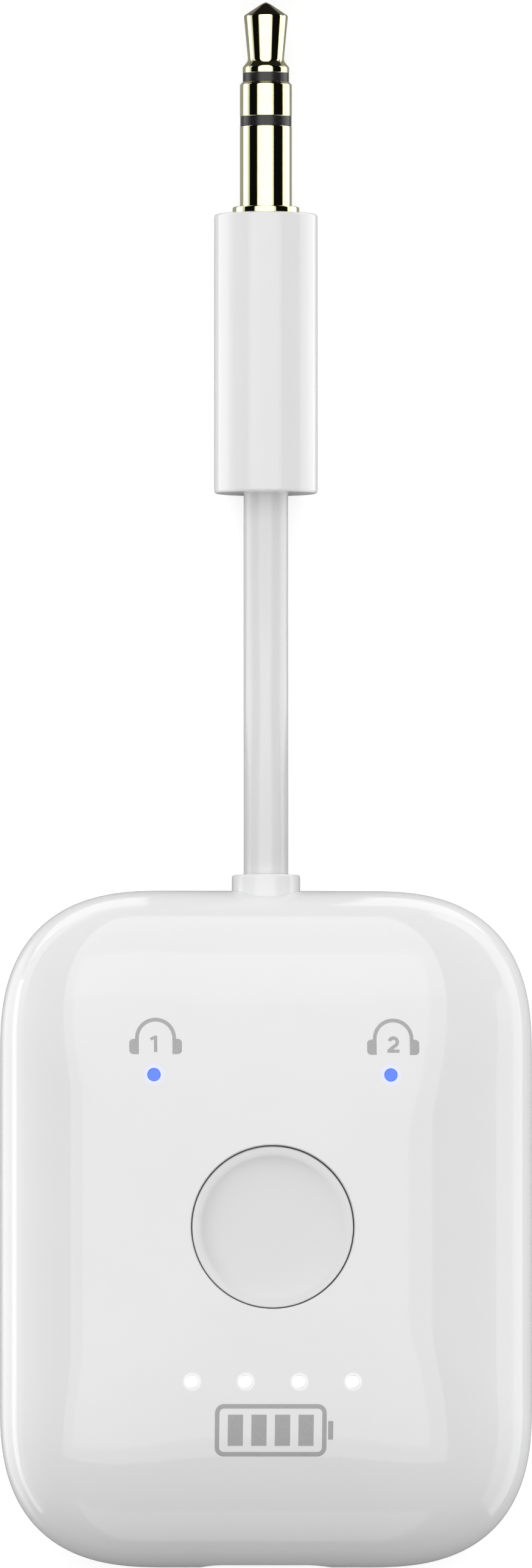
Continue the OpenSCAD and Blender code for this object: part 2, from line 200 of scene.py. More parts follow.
def rounded(profile):
    """Rounds the corners of an open or closed profile of (radius, height[, rounding]) points."""
    out = []
    count = len(profile)
    for k, corner in enumerate(profile):
        here = np.array(corner[:2], float)
        size = corner[2] if len(corner) > 2 else 0
        if size <= 0:
            out.append(here)
            continue
        before = np.array(profile[k - 1][:2], float)
        after = np.array(profile[(k + 1) % count][:2], float)
        a = (before - here) / np.linalg.norm(before - here)
        b = (after - here) / np.linalg.norm(after - here)
        for t in np.linspace(0, 1, 7):
            out.append((1 - t) ** 2 * (here + a * size) + 2 * t * (1 - t) * here + t * t * (here + b * size))
    return out


def lathe(name, profile, body, replaced, slot_name, along="z", centre=(0, 0), segments=96, sharp=30):
    """Turns a closed profile of (radius, distance[, rounding]) points, in millimetres."""
    line = rounded(profile)
    points = []
    rings = []
    for r, h in line:
        if r < 1e-9:
            rings.append([len(points)])
            points.append((0, 0, h))
            continue
        rings.append(list(range(len(points), len(points) + segments)))
        for k in range(segments):
            turn = 2 * math.pi * k / segments
            points.append((r * math.cos(turn), r * math.sin(turn), h))
    faces = []
    for j in range(len(rings)):
        a, b = rings[j], rings[(j + 1) % len(rings)]
        if len(a) == 1 and len(b) == 1:
            continue
        for k in range(segments):
            n = (k + 1) % segments
            if len(a) == 1:
                faces.append((a[0], b[k], b[n]))
            elif len(b) == 1:
                faces.append((a[k], b[0], a[n]))
            else:
                faces.append((a[k], b[k], b[n], a[n]))
    placed = []
    for x, y, z in points:
        if along == "z":
            placed.append((x * MM + centre[0], y * MM + centre[1], z * MM))
        else:
            placed.append((x * MM + centre[0], z * MM, -y * MM + centre[1]))
    return mesh_object(name, placed, faces, body, replaced, slot_name, sharp)


# ---------------------------------------------------------------- the housing's form
def outline_points(corner_steps=40, side_steps=14):
    """The housing's outline, anticlockwise from +X."""
    a, b = half_w - corner_len, half_l - corner_len
    quarter = [(half_w, b * k / side_steps) for k in range(side_steps)]
    for k in range(corner_steps + 1):
        turn = k * math.pi / 2 / corner_steps
        quarter.append((
            a + corner_len * math.cos(turn) ** (2 / CORNER_POWER) if k < corner_steps else a,
            b + corner_len * math.sin(turn) ** (2 / CORNER_POWER) if k > 0 else b,
        ))
    quarter += [(a * (1 - k / side_steps), half_l) for k in range(1, side_steps)]
    points = list(quarter)
    points.append((0, half_l))
    points += [(-x, y) for x, y in reversed(quarter)]
    points += [(-x, -y) for x, y in quarter[1:]]
    points.append((0, -half_l))
    points += [(x, -y) for x, y in reversed(quarter[1:])]
    return np.array(points)


def gauge(x, y):
    """The scale of the outline that passes through each point, and its slope."""
    x = np.asarray(x, float)
    y = np.asarray(y, float)
    ax, ay = np.abs(x), np.abs(y)
    a, b = half_w - corner_len, half_l - corner_len
    low = np.maximum(np.maximum(ax / half_w, ay / half_l), 1e-9)
    high = low * 1.6

    def reach(s):
        u = np.maximum((ax / s - a) / corner_len, 0)
        v = np.maximum((ay / s - b) / corner_len, 0)
        return u, v

    for _ in range(50):
        s = (low + high) / 2
        u, v = reach(s)
        outside = u ** CORNER_POWER + v ** CORNER_POWER > 1
        low = np.where(outside, s, low)
        high = np.where(outside, high, s)
    s = (low + high) / 2
    u, v = reach(s)
    gu, gv = u ** (CORNER_POWER - 1), v ** (CORNER_POWER - 1)
    under = np.maximum(gu * ax + gv * ay, 1e-12)
    return s, np.sign(x) * gu * s / under, np.sign(y) * gv * s / under


def surface_z(x, y):
    """Height of the front cover's outer surface."""
    s = gauge(x, y)[0]
    return mid_z + front_rise * (1 - s ** SIDE_POWER) ** (1 / SIDE_POWER)


def surface_normals(points, rise):
    """Outward normals of the side curve, and how far each point is off it."""
    s, sx, sy = gauge(points[:, 0], points[:, 1])
    h = (points[:, 2] - mid_z) / rise
    g = SIDE_POWER * s ** (SIDE_POWER - 1)
    normal = np.stack([
        g * sx, g * sy,
        SIDE_POWER * np.abs(h) ** (SIDE_POWER - 1) * np.sign(h) / abs(rise) * np.sign(rise),
    ], axis=1)
    normal /= np.linalg.norm(normal, axis=1)[:, None]
    off = np.abs(s ** SIDE_POWER + np.abs(h) ** SIDE_POWER - 1)
    return normal, off


outline = outline_points()
outline_r = np.hypot(outline[:, 0], outline[:, 1])
count = len(outline)


def scaled(scale, z):
    """A ring: the outline scaled, at a height. Both may differ round the ring."""
    scale = np.broadcast_to(scale, (count,))
    z = np.broadcast_to(z, (count,))
    return np.column_stack([outline * scale[:, None], z])


def side(angle, scale, rise):
    angle = np.broadcast_to(angle, (count,))
    return scaled(scale * np.cos(angle) ** (2 / SIDE_POWER), mid_z + rise * np.sin(angle) ** (2 / SIDE_POWER))


def height_at(scale, rise):
    """Height of a side curve where the outline's scale is as given."""
    return mid_z + rise * (1 - scale ** SIDE_POWER) ** (1 / SIDE_POWER)


def ring_mesh(rings, closed):
    """Points and faces of a skin through rings, closed on itself or capped at both ends."""
    points = np.concatenate(rings)
    faces = []
    last = len(rings) if closed else len(rings) - 1
    for j in range(last):
        a = j * count
        b = (j + 1) % len(rings) * count
        for i in range(count):
            k = (i + 1) % count
            faces.append((a + i, b + i, b + k, a + k))
    if not closed:
        faces.append(tuple(range(count)))
        faces.append(tuple((len(rings) - 1) * count + i for i in reversed(range(count))))
    return points, faces


def cutter(parts):
    """One mesh of separate cutting shapes, each a (points, faces) pair."""
    points, faces = merged(parts)
    mesh = bpy.data.meshes.new("cutter")
    mesh.from_pydata(points, [], faces)
    turn_outward(mesh)
    return bpy.data.objects.new("cutter", mesh)


def bar(section, start, end, along):
    """A straight bar of a closed (u, v) section. Along z, u and v are x and y; along y, x and z."""
    n = len(section)
    points = []
    for d in (start, end):
        for u, v in section:
            points.append((u, v, d) if along == "z" else (u, d, v))
    faces = [(k, (k + 1) % n, n + (k + 1) % n, n + k) for k in range(n)]
    faces.append(tuple(range(n)))
    faces.append(tuple(reversed(range(n, 2 * n))))
    return points, faces


def circle(r, u=0.0, v=0.0, steps=64):
    return [
        (u + r * math.cos(2 * math.pi * k / steps), v + r * math.sin(2 * math.pi * k / steps))
        for k in range(steps)
    ]


def stadium(w, h, v):
    """A section with round ends, centred on u = 0 and the height v."""
    points = []
    for sign in (1, -1):
        for k in range(33):
            turn = -math.pi / 2 + math.pi * k / 32
            points.append((sign * ((w - h) / 2 + h / 2 * math.cos(turn)), v + sign * h / 2 * math.sin(turn)))
    return points


def cut_and_shade(obj, tool, rise):
    """Cuts the tool out of obj, then sets exact normals on the curved outer surface."""
    bpy.context.scene.collection.objects.link(tool)
    modifier = obj.modifiers.new("cut", "BOOLEAN")
    modifier.operation = "DIFFERENCE"
    modifier.solver = "EXACT"
    modifier.object = tool
    bpy.context.view_layer.update()
    graph = bpy.context.evaluated_depsgraph_get()
    mesh = bpy.data.meshes.new_from_object(obj.evaluated_get(graph))
    obj.modifiers.clear()
    bpy.data.objects.remove(tool)
    old = obj.data
    obj.data = mesh
    bpy.data.meshes.remove(old)
    mesh.name = obj.name
    points = np.empty(len(mesh.vertices) * 3)
    mesh.vertices.foreach_get("co", points)
    points = points.reshape(-1, 3)
    normals, off = surface_normals(points, rise)
    for polygon in mesh.polygons:
        polygon.use_smooth = True
    mesh.set_sharp_from_angle(angle=math.radians(30))
    custom = [(0.0, 0.0, 0.0)] * len(mesh.loops)
    for polygon in mesh.polygons:
        places = list(polygon.vertices)
        if max(off[places]) > 0.02 or abs(polygon.center.z - mid_z) < 1e-6:
            continue
        mean = normals[places].mean(axis=0)
        if np.dot(mean, polygon.normal) < 0.9 * np.linalg.norm(mean):
            continue
        for loop in polygon.loop_indices:
            custom[loop] = tuple(normals[mesh.loops[loop].vertex_index])
    mesh.normals_split_custom_set(custom)


# ---------------------------------------------------------------- covers
SEAM = 0.05 * MM
HOLE_ROUND = 0.13 * MM
COLLAR_HOLE_R = 2.33 * MM
PORT_WIDTH = 8.9 * MM
PORT_HEIGHT = 3.16 * MM
END_CUT = 17.75 * MM
opening_collar = bar(circle(COLLAR_HOLE_R, 0, mid_z, 96), END_CUT, half_l + MM, "y")
opening_port = bar(stadium(PORT_WIDTH, PORT_HEIGHT, mid_z), -half_l - MM, -END_CUT, "y")

hole_scale = hole_r / outline_r
rim = (hole_r + HOLE_ROUND) / outline_r
hole_z = height_at(rim, front_rise)
front_rings = [scaled(hole_scale, hole_z - HOLE_ROUND)]
for turn in (20, 45, 70):
    c, s = math.cos(math.radians(turn)), math.sin(math.radians(turn))
    front_rings.append(scaled((hole_r + HOLE_ROUND * (1 - c)) / outline_r, hole_z - HOLE_ROUND * (1 - s)))
top_angle = np.arccos(rim ** (SIDE_POWER / 2))
FRONT_STEPS = 56
CAVITY_STEPS = 14
for k in range(FRONT_STEPS):
    front_rings.append(side(top_angle * (1 - k / FRONT_STEPS), 1, front_rise))
front_rings.append(scaled(1, mid_z + SEAM))
front_rings.append(scaled(1 - SEAM / half_w, mid_z))
front_rings.append(scaled(inner_scale, mid_z))
cavity_rise = front_rise - wall
inner_angle = np.arccos((hole_scale / inner_scale) ** (SIDE_POWER / 2))
for k in range(1, CAVITY_STEPS + 1):
    front_rings.append(side(inner_angle * k / CAVITY_STEPS, inner_scale, cavity_rise))
points, faces = ring_mesh(front_rings, True)
front_cover = mesh_object("front_cover_smooth", points, faces, "housing", ["front_cover"], "white_gloss")
LIGHT_GAP = 0.02 * MM
light_holes = [
    bar(circle(light_r + LIGHT_GAP, x, y, 48), mid_z + 2 * MM, body_h + MM, "z")
    for x, y in [(-status_x, status_y), (status_x, status_y)] + [(x, battery_y) for x in battery_xs]
]
cut_and_shade(front_cover, cutter(light_holes + [opening_collar, opening_port]), front_rise)

# The rear cover's locating lip, whose sides are given as shares of the housing's half width
LIP_HEIGHT = MM
LIP_ROOT = 1.4 * MM
LIP_ROUND = 0.05 * MM
LIP_ROUND_SHARE = 0.003
CAVITY_EDGE = math.radians(18)
REAR_CAVITY_STEPS = 12
lip_out = inner_scale - 0.012
lip_in = lip_out - 0.036
cavity_drop = rear_drop - wall
flat_out = math.asin((mid_z / rear_drop) ** (SIDE_POWER / 2))
flat_in = math.asin(((mid_z - wall) / cavity_drop) ** (SIDE_POWER / 2))
rear_rings = [
    side(flat_in + (CAVITY_EDGE - flat_in) * k / REAR_CAVITY_STEPS, inner_scale, -cavity_drop)
    for k in range(REAR_CAVITY_STEPS + 1)
]
rear_rings += [scaled(scale, mid_z + height) for scale, height in (
    (lip_in, -LIP_ROOT),
    (lip_in, LIP_HEIGHT - LIP_ROUND),
    (lip_in + LIP_ROUND_SHARE, LIP_HEIGHT),
    (lip_out - LIP_ROUND_SHARE, LIP_HEIGHT),
    (lip_out, LIP_HEIGHT - LIP_ROUND),
    (lip_out, 0),
    (1 - SEAM / half_w, 0),
    (1, -SEAM),
)]
REAR_STEPS = 44
for k in range(1, REAR_STEPS + 1):
    rear_rings.append(side(flat_out * k / REAR_STEPS, 1, -rear_drop))
points, faces = ring_mesh(rear_rings, False)
rear_cover = mesh_object("rear_cover_smooth", points, faces, "housing", ["rear_cover"], "white_gloss")
cut_and_shade(rear_cover, cutter([opening_collar, opening_port]), -rear_drop)

# ---------------------------------------------------------------- button
# In millimetres, as lathe() takes them
CAP_TOP = cap_high[2] / MM
CAP_LOW = cap_low[2] / MM
CAP_R = 5.4
CAP_INNER_R = 4.4
CAP_ROOF = CAP_TOP - 1.45
FOOT_R = 1.2
FLANGE_R = 6.3
FLANGE_TOP = (body_h - wall) / MM - 0.35
FLANGE_LOW = FLANGE_TOP - 0.7
DISH_R = 4.93
DISH_DEPTH = 0.45
DISH_POWER = 4
DISH_STEPS = 24
dish = []
for k in range(DISH_STEPS + 1):
    share = k / DISH_STEPS
    dish.append((DISH_R * share, CAP_TOP + DISH_DEPTH * (share ** DISH_POWER - 1)))
cap_profile = [
    (0, CAP_LOW), (FOOT_R, CAP_LOW, 0.1), (FOOT_R, CAP_ROOF, 0.1), (CAP_INNER_R, CAP_ROOF, 0.2),
    (CAP_INNER_R, FLANGE_LOW), (FLANGE_R, FLANGE_LOW, 0.08), (FLANGE_R, FLANGE_TOP, 0.08),
    (CAP_R, FLANGE_TOP), (CAP_R, CAP_TOP, 0.13),
] + dish[::-1]
button = lathe("button_smooth", cap_profile, "button", ["button_cap"], "white_gloss", segments=160, sharp=50)

# ---------------------------------------------------------------- lights
PIPE_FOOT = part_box("status_light_pipe_1")[0][2]
PIPE_HEAD = PIPE_FOOT + 0.8 * MM
PIPE_SINK = 0.01 * MM
PIPE_ROUND = 0.04 * MM
# Half sizes of the strip that joins the battery lights
STRIP_X = 6.3 * MM
STRIP_Y = 0.9 * MM


def light_pin(x, y, head, steps=40):
    """A pin whose top follows the cover's surface, with an optional wider head below."""
    levels = [(0, PIPE_FOOT), (head, PIPE_FOOT), (head, PIPE_HEAD), (light_r, PIPE_HEAD)]
    points = []
    for r, z in levels:
        points += [(u, v, z) for u, v in circle(r, x, y, steps)]
    for r in (light_r, light_r * 0.93, light_r * 0.5, light_r * 0.02):
        for u, v in circle(r, x, y, steps):
            drop = PIPE_SINK + (PIPE_ROUND if r == light_r else 0)
            points.append((u, v, float(surface_z(u, v)) - drop))
    faces = []
    for j in range(len(levels) + 3):
        for k in range(steps):
            n = (k + 1) % steps
            faces.append((j * steps + k, j * steps + n, (j + 1) * steps + n, (j + 1) * steps + k))
    faces.append(tuple((len(levels) + 3) * steps + k for k in range(steps)))
    return points, faces


def window(name, parts, replaced, slot_name):
    """The lit pieces that stand for one light pipe."""
    points, faces = merged(parts)
    return mesh_object(name, points, faces, "housing", [replaced], slot_name, 40)


for number, sign in ((1, -1), (2, 1)):
    window(
        f"status_window_{number}", [light_pin(sign * status_x, status_y, 2 * light_r)],
        f"status_light_pipe_{number}", "clear_pipe_blue",
    )
strip = [
    (x, battery_y + y)
    for x, y in ((-STRIP_X, -STRIP_Y), (STRIP_X, -STRIP_Y), (STRIP_X, STRIP_Y), (-STRIP_X, STRIP_Y))
]
window(
    "battery_windows",
    [light_pin(x, battery_y, light_r) for x in battery_xs] + [bar(strip, PIPE_FOOT, PIPE_HEAD, "z")],
    "battery_light_guide", "clear_pipe_white",
)


# ---------------------------------------------------------------- printed marks
INK = 0.012 * MM


def stroke(line, width):
    """A ribbon of quads along a line of (x, y) points, in millimetres."""
    line = np.array(line, float)
    points = []
    for k in range(len(line)):
        ahead = line[min(k + 1, len(line) - 1)] - line[k]
        behind = line[k] - line[max(k - 1, 0)]
        a = np.array([-ahead[1], ahead[0]])
        b = np.array([-behind[1], behind[0]])
        a = a / np.linalg.norm(a) if np.linalg.norm(a) > 1e-9 else b / np.linalg.norm(b)
        b = b / np.linalg.norm(b) if np.linalg.norm(b) > 1e-9 else a
        mitre = (a + b) / np.linalg.norm(a + b)
        reach = width / 2 / max(np.dot(mitre, a), 0.5)
        points.append(tuple(line[k] + mitre * reach))
        points.append(tuple(line[k] - mitre * reach))
    faces = [(2 * k, 2 * k + 2, 2 * k + 3, 2 * k + 1) for k in range(len(line) - 1)]
    return points, faces


def arc(x, y, r, start, end, steps=24):
    return [
        (x + r * math.cos(math.radians(start + (end - start) * k / steps)),
         y + r * math.sin(math.radians(start + (end - start) * k / steps)))
        for k in range(steps + 1)
    ]


def subdivided(line, step=0.3):
    out = [line[0]]
    for a, b in zip(line, line[1:]):
        n = max(1, math.ceil(math.dist(a, b) / step))
        out += [(a[0] + (b[0] - a[0]) * k / n, a[1] + (b[1] - a[1]) * k / n) for k in range(1, n + 1)]
    return out


def headphones(x, y, digit):
    """A headband, two ear cups and a digit, above the centre of the headband's arc."""
    parts = [stroke([(x + 1.245, y - 1.07), (x + 1.245, y - 0.5)] + arc(x, y, 1.245, 0, 180, 36)
                    + [(x - 1.245, y - 0.5), (x - 1.245, y - 1.07)], 0.25)]
    for sign in (-1, 1):
        low, high, inner, outer, r = y - 1.07, y - 0.05, 1.3, 1.76, 0.27
        edge = [(x + sign * inner, low)]
        edge += [(x + sign * (outer - r + r * math.sin(t)), low + r - r * math.cos(t))
                 for t in np.linspace(0, math.pi / 2, 9)]
        edge += [(x + sign * (outer - r + r * math.cos(t)), high - r + r * math.sin(t))
                 for t in np.linspace(0, math.pi / 2, 9)]
        edge.append((x + sign * inner, high))
        parts.append((edge, [tuple(range(len(edge)))]))
    base = y - 0.93
    if digit == 1:
        parts.append(stroke([(x, base), (x, base + 1.1)], 0.22))
        parts.append(stroke([(x - 0.34, base + 0.86), (x - 0.1, base + 0.97)], 0.2))
    else:
        parts.append(stroke(arc(x + 0.01, base + 0.72, 0.27, 165, -42, 20)
                            + [(x - 0.1, base + 0.3), (x - 0.3, base + 0.12)], 0.23))
        parts.append(stroke([(x - 0.4, base + 0.11), (x + 0.42, base + 0.11)], 0.22))
    return parts


def battery_mark(x, y):
    """A battery's outline with a terminal and four level bars."""
    w, h, r = 3.6, 1.6, 0.45
    line = []
    for cx, cy, start in ((w - r, h - r, 0), (r - w, h - r, 90), (r - w, r - h, 180), (w - r, r - h, 270)):
        line += arc(x + cx, y + cy, r, start, start + 90, 6)
    line = subdivided(line + [line[0]], 0.4)
    parts = [stroke(line, 0.3)]
    parts.append(stroke(subdivided([(x + w + 0.42, y - 0.62), (x + w + 0.42, y + 0.62)]), 0.34))
    for k in range(4):
        bar_x = x - 2.37 + k * 1.58
        parts.append(stroke(subdivided([(bar_x, y - 1.04), (bar_x, y + 1.04)]), 1.02))
    return parts


def print_on_cover(name, parts):
    """Lays flat (x, y) shapes on the cover's surface, slightly proud of it."""
    flat, faces = merged(parts)
    flat = np.array(flat) * MM
    heights = surface_z(flat[:, 0], flat[:, 1]) + INK
    points = [(p[0], p[1], z) for p, z in zip(flat, heights)]
    mesh = bpy.data.meshes.new(name)
    mesh.from_pydata(points, [], faces)
    clean = bmesh.new()
    clean.from_mesh(mesh)
    for face in clean.faces:
        face.normal_update()
        if face.normal.z < 0:
            face.normal_flip()
        face.smooth = True
    clean.to_mesh(mesh)
    clean.free()
    co = np.empty(len(mesh.vertices) * 3)
    mesh.vertices.foreach_get("co", co)
    normals = surface_normals(co.reshape(-1, 3), front_rise)[0]
    mesh.normals_split_custom_set_from_vertices([tuple(n) for n in normals])
    obj = link(bpy.data.objects.new(name, mesh))
    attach(obj, "housing")
    return obj


marks = [
    print_on_cover("mark_headphones_1", headphones(-7.83, 12.65, 1)),
    print_on_cover("mark_headphones_2", headphones(8.12, 12.62, 2)),
    print_on_cover("mark_battery", battery_mark(-0.1, -13.6)),
]

# ---------------------------------------------------------------- plug and collar
START = barrel_start / MM
END = barrel_end / MM
axis = (plug_x, plug_z)
R = barrel_r / MM
plug_pieces = [
    lathe("grip_smooth", [
        (1.47, START), (R, START, 0.22), (R, END, 0.22), (1.53, END), (1.53, END - 1),
        (2.63, END - 1), (2.63, START + 3.2), (1.47, START + 3.2),
    ], "housing", ["plug_barrel"], "barrel_white", "y", axis, 128),
    lathe("core_smooth", [
        (0, START + 3.4), (2.6, START + 3.4, 0.2), (2.6, END - 1.03, 0.1), (1.53, END - 1.03),
        (1.53, END - 4.5), (0, END - 4.5),
    ], "housing", ["plug_core"], "core_ivory", "y", axis, 64),
    lathe("sleeve_smooth", [
        (1.3, END - 3), (1.5, END - 3), (1.5, END + 0.02), (2.25, END + 0.02, 0.08),
        (2.25, END + 0.48, 0.1), (1.75, END + 0.48, 0.04), (1.75, END + 5.94, 0.06), (1.3, END + 5.94),
    ], "housing", ["plug_sleeve"], "gold", "y", axis, 128),
    lathe("rear_insulator_smooth", [
        (1.05, END - 3.4), (1.28, END - 3.4), (1.28, END + 5.94), (1.73, END + 5.94, 0.03),
        (1.73, END + 6.6, 0.03), (1.05, END + 6.6),
    ], "housing", ["plug_rear_insulator"], "black_plastic", "y", axis, 128),
    lathe("ring_smooth", [
        (0.8, END - 3.8), (1.03, END - 3.8), (1.03, END + 6.6), (1.75, END + 6.6, 0.06),
        (1.75, END + 8.77, 0.06), (1.575, END + 8.94), (0.8, END + 8.94),
    ], "housing", ["plug_ring"], "gold", "y", axis, 128),
    lathe("front_insulator_smooth", [
        (0.55, END - 4.2), (0.78, END - 4.2), (0.78, END + 8.94), (1.56, END + 8.94, 0.03),
        (1.56, END + 9.54, 0.03), (0.55, END + 9.54),
    ], "housing", ["plug_front_insulator"], "black_plastic", "y", axis, 128),
    lathe("tip_smooth", [
        (0, END - 4.45), (0.53, END - 4.45), (0.53, END + 9.54), (1.575, END + 9.54, 0.05),
        (1.575, END + 9.94, 0.1), (1.2, END + 10.39, 0.2), (1.485, END + 13.39, 0.06),
        (1.46, END + 13.46, 0.05), (0.3, END + 14.24, 0.15), (0, END + 14.37),
    ], "housing", ["plug_tip"], "gold", "y", axis, 128),
    lathe("collar_smooth", [
        (1.47, 18.4), (2.75, 18.4, 0.1), (2.75, 19.4, 0.1), (2.3, 19.4), (2.3, collar_end / MM, 0.2),
        (1.47, collar_end / MM),
    ], "housing", ["cord_collar"], "white_gloss", "y", (0, mid_z), 96),
]


def tube(name, path, radius, body, replaced, slot_name, segments=64):
    """A round tube along a path that stays near the YZ plane."""
    points = []
    for k, place in enumerate(path):
        ahead = (path[min(k + 1, len(path) - 1)] - path[max(k - 1, 0)]).normalized()
        side_way = Vector((0, 0, 1)).cross(ahead).normalized()
        up = ahead.cross(side_way)
        for i in range(segments):
            turn = 2 * math.pi * i / segments
            points.append(place + radius * (math.cos(turn) * side_way + math.sin(turn) * up))
    faces = [
        (j * segments + i, j * segments + (i + 1) % segments,
         (j + 1) * segments + (i + 1) % segments, (j + 1) * segments + i)
        for j in range(len(path) - 1) for i in range(segments)
    ]
    faces.append(tuple(range(segments)))
    faces.append(tuple((len(path) - 1) * segments + i for i in reversed(range(segments))))
    return mesh_object(name, points, faces, body, replaced, slot_name)


cable = tube("cable_smooth", cable_path, 1.5 * MM, "housing", ["cable_jacket"], "cable_white")


# ---------------------------------------------------------------- materials
def node_tree(name):
    material = bpy.data.materials.new(name)
    material.use_nodes = True
    tree = material.node_tree
    shader = tree.nodes["Principled BSDF"]
    return material, tree, shader


def add(tree, kind, **sockets):
    made = tree.nodes.new(kind)
    for name, value in sockets.items():
        made.inputs[name.replace("_", " ")].default_value = value
    return made


def noise(tree, scale, detail=3.0, stretch=None):
    """A noise texture in object space, with its features' size set by scale per metre."""
    place = tree.nodes.new("ShaderNodeTexCoord")
    out = place.outputs["Object"]
    if stretch:
        mapping = tree.nodes.new("ShaderNodeMapping")
        mapping.inputs["Scale"].default_value = stretch
        tree.links.new(out, mapping.inputs["Vector"])
        out = mapping.outputs["Vector"]
    texture = add(tree, "ShaderNodeTexNoise", Scale=scale, Detail=detail)
    tree.links.new(out, texture.inputs["Vector"])
    return texture.outputs["Fac"]


def spread(tree, source, low, high):
    """Maps a texture's middle range to low..high."""
    made = add(tree, "ShaderNodeMapRange", From_Min=0.3, From_Max=0.7, To_Min=low, To_Max=high)
    tree.links.new(source, made.inputs["Value"])
    return made.outputs["Result"]


def two_tones(tree, source, first, second):
    ramp = tree.nodes.new("ShaderNodeValToRGB")
    ramp.color_ramp.elements[0].position = 0.3
    ramp.color_ramp.elements[1].position = 0.7
    ramp.color_ramp.elements[0].color = (*first, 1)
    ramp.color_ramp.elements[1].color = (*second, 1)
    tree.links.new(source, ramp.inputs["Fac"])
    return ramp.outputs["Color"]


def bumped(tree, shader, source, strength, depth):
    bump = add(tree, "ShaderNodeBump", Strength=strength, Distance=depth)
    tree.links.new(source, bump.inputs["Height"])
    tree.links.new(bump.outputs["Normal"], shader.inputs["Normal"])


def finish(name, first, second, rough, metal=0.0, tone_scale=400, grain=3000, bump=0.1, depth=2e-6,
           stretch=None):
    """A surface with two near tones, an uneven gloss and a fine grain."""
    material, tree, shader = node_tree(name)
    shader.inputs["Metallic"].default_value = metal
    shader.inputs["IOR"].default_value = 1.5
    tone = noise(tree, tone_scale, 4, stretch)
    tree.links.new(two_tones(tree, tone, first, second), shader.inputs["Base Color"])
    fine = noise(tree, grain, 2, stretch)
    tree.links.new(spread(tree, fine, rough[0], rough[1]), shader.inputs["Roughness"])
    bumped(tree, shader, fine, bump, depth)
    return material, tree, shader


def maths(tree, operation, first, second):
    """A math node on two values, each a socket or a number."""
    made = tree.nodes.new("ShaderNodeMath")
    made.operation = operation
    for socket, value in zip(made.inputs, (first, second)):
        if isinstance(value, (int, float)):
            socket.default_value = value
        else:
            tree.links.new(value, socket)
    return made.outputs["Value"]


def greatest(tree, values):
    most = values[0]
    for value in values[1:]:
        most = maths(tree, "MAXIMUM", most, value)
    return most


def glow(tree, places, near, far, colour, strength):
    """A soft halo round points in object space, as a colour for the Emission socket."""
    place = tree.nodes.new("ShaderNodeTexCoord")
    fades = []
    for spot in places:
        away = tree.nodes.new("ShaderNodeVectorMath")
        away.operation = "DISTANCE"
        tree.links.new(place.outputs["Object"], away.inputs[0])
        away.inputs[1].default_value = spot
        fade = add(tree, "ShaderNodeMapRange", From_Min=near, From_Max=far, To_Min=1.0, To_Max=0.0)
        fade.interpolation_type = "SMOOTHERSTEP"
        tree.links.new(away.outputs["Value"], fade.inputs["Value"])
        fades.append(fade.outputs["Result"])
    tint = tree.nodes.new("ShaderNodeVectorMath")
    tint.operation = "SCALE"
    tint.inputs[0].default_value = [c * strength for c in colour]
    tree.links.new(greatest(tree, fades), tint.inputs["Scale"])
    return tint.outputs["Vector"]


def light_places(spots):
    return [(x, y, float(surface_z(x, y))) for x, y in spots]


WHITE = (0.86, 0.86, 0.865)
WHITE_TONE = (0.87, 0.87, 0.872)
STATUS_HALO = 0.85 * MM
BATTERY_CORE = 0.2 * MM
BATTERY_HALO = 0.75 * MM
BATTERY_GLOW = 0.45
battery_places = light_places([(x, battery_y) for x in battery_xs])
cover_material, tree, shader = finish(
    "gloss_white", WHITE, WHITE_TONE, (0.025, 0.04), tone_scale=250, grain=900, bump=0.01, depth=1e-6
)
status_places = light_places([(-status_x, status_y), (status_x, status_y)])
halo_blue = glow(tree, status_places, light_r, STATUS_HALO, (0.0, 0.03, 0.3), 1.0)
halo_white = glow(tree, battery_places, BATTERY_CORE, BATTERY_HALO, (1, 1, 1), BATTERY_GLOW)
both = tree.nodes.new("ShaderNodeVectorMath")
both.operation = "ADD"
tree.links.new(halo_blue, both.inputs[0])
tree.links.new(halo_white, both.inputs[1])
tree.links.new(both.outputs["Vector"], shader.inputs["Emission Color"])
shader.inputs["Emission Strength"].default_value = 1.0

materials = {"white_gloss": cover_material}
materials["print_grey"] = finish(
    "print_grey", (0.4, 0.4, 0.4), (0.43, 0.43, 0.43), (0.25, 0.35), tone_scale=2500, grain=9000, bump=0.05
)[0]
materials["button_white"] = finish(
    "button_white", (0.768, 0.768, 0.771), (0.773, 0.773, 0.776), (0.2, 0.23), tone_scale=250, grain=900,
    bump=0.01
)[0]
materials["barrel_white"] = finish(
    "grip_white", (0.83, 0.83, 0.835), (0.84, 0.84, 0.843), (0.1, 0.13), tone_scale=300, grain=2500, bump=0.01
)[0]
materials["cable_white"] = finish(
    "cable_white", (0.74, 0.74, 0.743), (0.75, 0.75, 0.753), (0.15, 0.19), tone_scale=500, grain=4000,
    bump=0.02
)[0]
materials["core_ivory"] = finish(
    "core_ivory", (0.84, 0.81, 0.7), (0.88, 0.86, 0.77), (0.5, 0.62), grain=3500, bump=0.15
)[0]
materials["gold"] = finish(
    "gold_plate", (0.78, 0.76, 0.47), (0.82, 0.80, 0.51), (0.04, 0.07), 1.0, 600, 5000, 0.01, 5e-7,
    stretch=(0.35, 2.5, 0.35)
)[0]
materials["black_plastic"] = finish(
    "black_plastic", (0.01, 0.01, 0.011), (0.016, 0.016, 0.018), (0.2, 0.3), grain=6000, bump=0.1
)[0]
materials["steel"] = finish(
    "steel", (0.7, 0.7, 0.71), (0.78, 0.78, 0.79), (0.2, 0.34), 1.0, 900, 6000, 0.15, 2e-6,
    stretch=(1, 0.12, 1)
)[0]
materials["led_body"] = finish(
    "led_body", (0.86, 0.83, 0.6), (0.92, 0.9, 0.72), (0.3, 0.42), tone_scale=2500, grain=8000
)[0]
materials["ferrite"] = finish(
    "ferrite", (0.12, 0.12, 0.125), (0.2, 0.2, 0.21), (0.5, 0.68), tone_scale=3500, grain=9000, bump=0.4,
    depth=6e-6
)[0]
